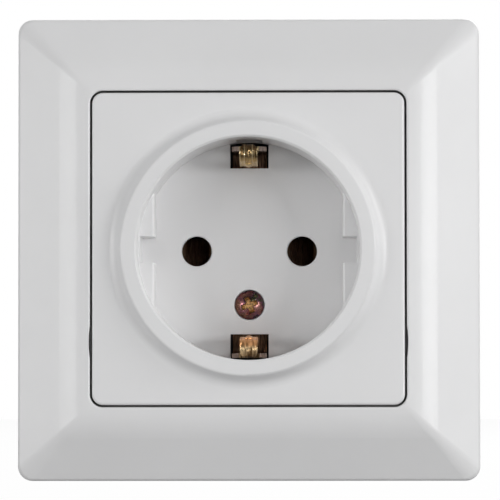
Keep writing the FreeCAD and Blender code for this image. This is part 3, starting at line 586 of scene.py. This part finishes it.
def pan_screw(name, head_radius, head_height, length):
    """Pan-head screw along +Y, with its head's seat at y = 0."""
    profile = dome_rings(head_radius, head_height)
    profile += [(head_radius, -HEAD_EDGE), (head_radius - HEAD_EDGE, 0), (ROOT_RADIUS, 0),
                (ROOT_RADIUS, length - TIP_LENGTH), (0.5 * ROOT_RADIUS, length)]
    screw = turned(name, profile)
    combine(screw, "DIFFERENCE", cross_cutter(RECESS_ARM_SHARE * head_radius, -head_height))
    soften(screw, SCREW_ROUNDING, sharper_than=40)
    ridge = thread(0.5 * PITCH, length - TIP_LENGTH - PITCH)
    only(screw)
    ridge.select_set(True)
    bpy.ops.object.join()
    screw.data.materials.clear()
    screw.data.materials.append(finishes["yellow_zinc"])
    smooth(screw)
    return screw


# %% [markdown]
# ## Placing the screws
#
# A screw's seat is where its CAD node has it, one head's height from the end of the node's box. Each kind is
# modelled once and copied. Nobody stops turning all screws at the same angle, so each copy has its own turn.

# %% Where a screw's head sits
def head_seat(node, head_height, index, end):
    """Centre of the head's seat; the head is at the low (-1) or high (1) end of axis 0 or 1."""
    low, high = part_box(node)
    centre = (low + high) / 2
    centre[index] = high[index] - head_height if end > 0 else low[index] + head_height
    return centre


def shank_length(node, head_height, index):
    low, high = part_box(node)
    return high[index] - low[index] - head_height


# %% Model each kind once, and place its copies
CLAW_HEAD = (2.5 * MM, 1.8 * MM)
TERMINAL_HEAD = (2.4 * MM, 1.8 * MM)
X_AXIS, Y_AXIS = 0, 1
screw_kinds = [
    (COVER_HEAD, Y_AXIS, [("cover_screw", -1, 68, "insert")]),
    (CLAW_HEAD, Y_AXIS, [("claw_screw_left", -1, 12, "claw_screw_left_body"),
                         ("claw_screw_right", -1, 67, "claw_screw_right_body")]),
    (TERMINAL_HEAD, X_AXIS, [("earth_terminal_screw", 1, 25, "insert"),
                             ("line_terminal_screw_left", -1, 70, "insert"),
                             ("line_terminal_screw_right", 1, 50, "insert")]),
]
for (head_radius, head_height), axis, copies in screw_kinds:
    model = pan_screw("screw model", head_radius, head_height, shank_length(copies[0][0], head_height, axis))
    for node, end, turn, body in copies:
        matrix = Matrix.Translation(head_seat(node, head_height, axis, end))
        if axis == X_AXIS:
            matrix @= Matrix.Rotation(math.radians(90 * end), 4, "Z")
        piece = add_object(node + "_threaded", model.data.copy())
        piece.data.transform(matrix @ Matrix.Rotation(math.radians(turn), 4, "Y"))
        stand_in(piece, node, body)
    bpy.data.objects.remove(model)

# %% [markdown]
# ## Rounded edges on the stamped metal
#
# A stamped strip never has a knife edge: the punch rolls one side over and leaves a fine burr on the other.
# Those tiny rounds catch the studio lights as bright lines, which is how the clips in the recess are read as
# metal. The CAD solids have sharp edges, so each is copied, its loose triangles merged, and a narrow bevel
# put on every edge that is sharp. Weighted normals then keep the flat faces flat to the light. The earth strap
# also loses the small corner that stands out on each side of its two tongues, with a pair of cutting blocks.

# %% Blocks that trim the tongues' corners
TRIM_FRONT, TRIM_BACK = 4.2 * MM, 3.4 * MM
TRIM_LOW, TRIM_HIGH = 12.0 * MM, 17.6 * MM
TRIM_WIDTH = 2.0 * MM


def tongue_trimmer(side):
    """Two blocks, one on each side of the upper (1) or lower (-1) tongue, that cut its corners off."""
    middle = (TONGUE_HALF + TRIM_WIDTH / 2, recess_floor - (TRIM_FRONT + TRIM_BACK) / 2,
              side * (TRIM_LOW + TRIM_HIGH) / 2)
    bpy.ops.mesh.primitive_cube_add(size=1, location=middle)
    block = bpy.context.object
    block.scale = (TRIM_WIDTH, TRIM_FRONT - TRIM_BACK, TRIM_HIGH - TRIM_LOW)
    bpy.ops.object.transform_apply(location=True, rotation=True, scale=True)
    twin = block.modifiers.new("other side", "MIRROR")
    twin.use_axis = (True, False, False)
    finish_modifiers(block)
    return block


# %% Stamped pieces with rolled edges
ROLLED_EDGE = 0.08 * MM
STRAP_EDGE = 0.18 * MM


def merged_copy(node, name):
    """Copy of a CAD node with its loose triangles merged into whole faces."""
    piece = add_object(name, nodes[node].data.copy())
    only(piece)
    bpy.ops.object.mode_set(mode="EDIT")
    bpy.ops.mesh.select_all(action="SELECT")
    bpy.ops.mesh.remove_doubles(threshold=1e-6)
    bpy.ops.mesh.customdata_custom_splitnormals_clear()
    bpy.ops.mesh.dissolve_limited(angle_limit=math.radians(1.0))
    bpy.ops.object.mode_set(mode="OBJECT")
    return piece


def roll_edges(piece, width):
    """Narrow round on the sharp edges, with the flat faces between them kept flat."""
    soften(piece, width, sharper_than=38)
    smooth(piece)
    flat = piece.modifiers.new("flat faces stay flat", "WEIGHTED_NORMAL")
    flat.keep_sharp = True
    finish_modifiers(piece)


stamped = {"earth_strap": "insert", "support_bracket": "insert", "earth_terminal_clamp": "insert"}
for side in ("left", "right"):
    stamped["line_contact_" + side] = "insert"
    stamped["contact_spring_" + side] = "insert"
    stamped["line_terminal_clamp_" + side] = "insert"
    stamped["claw_" + side] = "claw_" + side + "_body"
for node, body in stamped.items():
    piece = merged_copy(node, node + "_rolled")
    if node == "earth_strap":
        for side in (1, -1):
            combine(piece, "DIFFERENCE", tongue_trimmer(side))
    roll_edges(piece, STRAP_EDGE if node == "earth_strap" else ROLLED_EDGE)
    stand_in(piece, node, body)

# %% [markdown]
# ## The lamps
#
# The photograph is a packshot: the socket faces the camera and the light comes from both sides, low and flat,
# with one larger softbox high on the right. Little shines from near the camera, so the recess keeps its depth
# and the holes in its floor stay dark. The last lamp stands behind and lights the back for the other views.

# %% Softboxes
LAMP_REACH = 1.5
LAMP_WIDTH = 0.7


def softbox(name, place, width, height, power):
    """Rectangular lamp that faces the socket."""
    light = bpy.data.lights.new(name, "AREA")
    light.shape, light.size, light.size_y, light.energy = "RECTANGLE", width, height, power
    lamp = add_object(name, light)
    lamp.location = place
    lamp.rotation_euler = (-Vector(place)).to_track_quat("-Z", "Y").to_euler()


# Name, degrees round from the camera's line, place above the socket's middle, lamp's height, power in watts.
front_lamps = [
    ("near strip light", 15, 0.06, 0.25, 1.7),
    ("right strip light", 45, 0.06, 0.25, 7.2),
    ("right softbox", 70, 0.50, 0.70, 7.2),
    ("left strip light", -45, 0.06, 0.25, 5.3),
    ("far left strip light", -70, 0.06, 0.25, 3.0),
]
for name, degrees, above, height, power in front_lamps:
    angle = math.radians(degrees)
    place = (LAMP_REACH * math.sin(angle), -LAMP_REACH * math.cos(angle), above)
    softbox(name, place, LAMP_WIDTH, height, power)
softbox("back softbox", (0.5, 1.3, 0.8), 0.8, 0.8, 9.0)
print("lamps", {light.name: round(light.energy, 1) for light in bpy.data.lights})

# %% [markdown]
# ## The surroundings
#
# The background is white to the camera alone, so its white throws no light on the part. Metal in the recess
# mirrors a dark room, metal at the back mirrors white paper, and everything else gets a soft ceiling. The Light
# Path node tells these rays apart.

# %% World
DARK_ROOM = 0.04
CEILING = 0.33

world = bpy.data.worlds.new("studio")
bpy.context.scene.world = world
world.use_nodes = True
light_path = Wire(world.node_tree, None).add("ShaderNodeLightPath", {}, {}).socket.node
rays = {socket.name: Wire(world.node_tree, socket) for socket in light_path.outputs}
seen = rays["Is Camera Ray"].larger(rays["Is Transmission Ray"])
direction = seen.add("ShaderNodeTexCoord", {}, {})
behind = direction.axis(1).steps(-0.10, 0.25)
ceiling = direction.axis(2).steps(0.0, 1.0) * CEILING
reflected = DARK_ROOM + behind * (1 - DARK_ROOM)
unseen = ceiling + rays["Is Glossy Ray"] * (reflected - ceiling)
paper = world.node_tree.nodes["Background"]
feed(paper, Color=colour(1, 1, 1), Strength=unseen + seen * (1 - unseen))
print("world nodes", len(world.node_tree.nodes))

# %% [markdown]
# ## The floor
#
# The part stands free above a sheet of paper. To the camera most of the sheet's tone is an even white, and the
# rest is the lit surface with its faint shadow. To all other rays it is a dull grey, so that it throws little
# light up at the part.

# %% Floor
FLOOR_HEIGHT = -0.065
PAPER_GLOW = 1.12
GLOW_SHARE = 0.85

bpy.ops.mesh.primitive_grid_add(x_subdivisions=8, y_subdivisions=8, size=4.0, location=(0, 0, FLOOR_HEIGHT))
floor = bpy.context.object
floor.name = "floor"
sheet, lit, place = start_finish("paper")
feed(lit, Base_Color=place.noise(6.0).blend(colour(0.26, 0.26, 0.26), colour(0.28, 0.28, 0.28)), Roughness=0.9)
glow = place.add("ShaderNodeEmission", {}, {"Color": colour(1, 1, 1), "Strength": PAPER_GLOW})
camera_ray = place.add("ShaderNodeLightPath", {}, {})
lit_paper = Wire(sheet.node_tree, lit.outputs[0])
mixed = place.add("ShaderNodeMixShader", {}, {0: camera_ray * GLOW_SHARE, 1: lit_paper, 2: glow})
feed(sheet.node_tree.nodes["Material Output"], Surface=mixed)
floor.data.materials.append(sheet)

# %% [markdown]
# ## The camera
#
# The edges of the collar, the plate, the frame and the recess floor were measured in the photograph and set
# against their CAD places. The camera that fits them best stands 600 mm away, a little right of the middle and
# 20 mm below it, behind a long lens.

# %% Camera
CAMERA_PLACE = (0.0085, -0.600, -0.0197)
CAMERA_TILT, CAMERA_ROLL, CAMERA_PAN = 0.0329, 0.001, 0.0139

lens = bpy.data.cameras.new("camera")
lens.lens = 242.0
lens.sensor_width = 36.0
lens.clip_start = 0.01
lens.clip_end = 50.0
camera = add_object("camera", lens)
camera.location = CAMERA_PLACE
camera.rotation_euler = (math.radians(90) + CAMERA_TILT, CAMERA_ROLL, CAMERA_PAN)
bpy.context.scene.camera = camera
bpy.context.scene.view_settings.view_transform = "Standard"
print("camera", round(camera.location.length, 3), "m from the part's middle, lens", lens.lens, "mm")
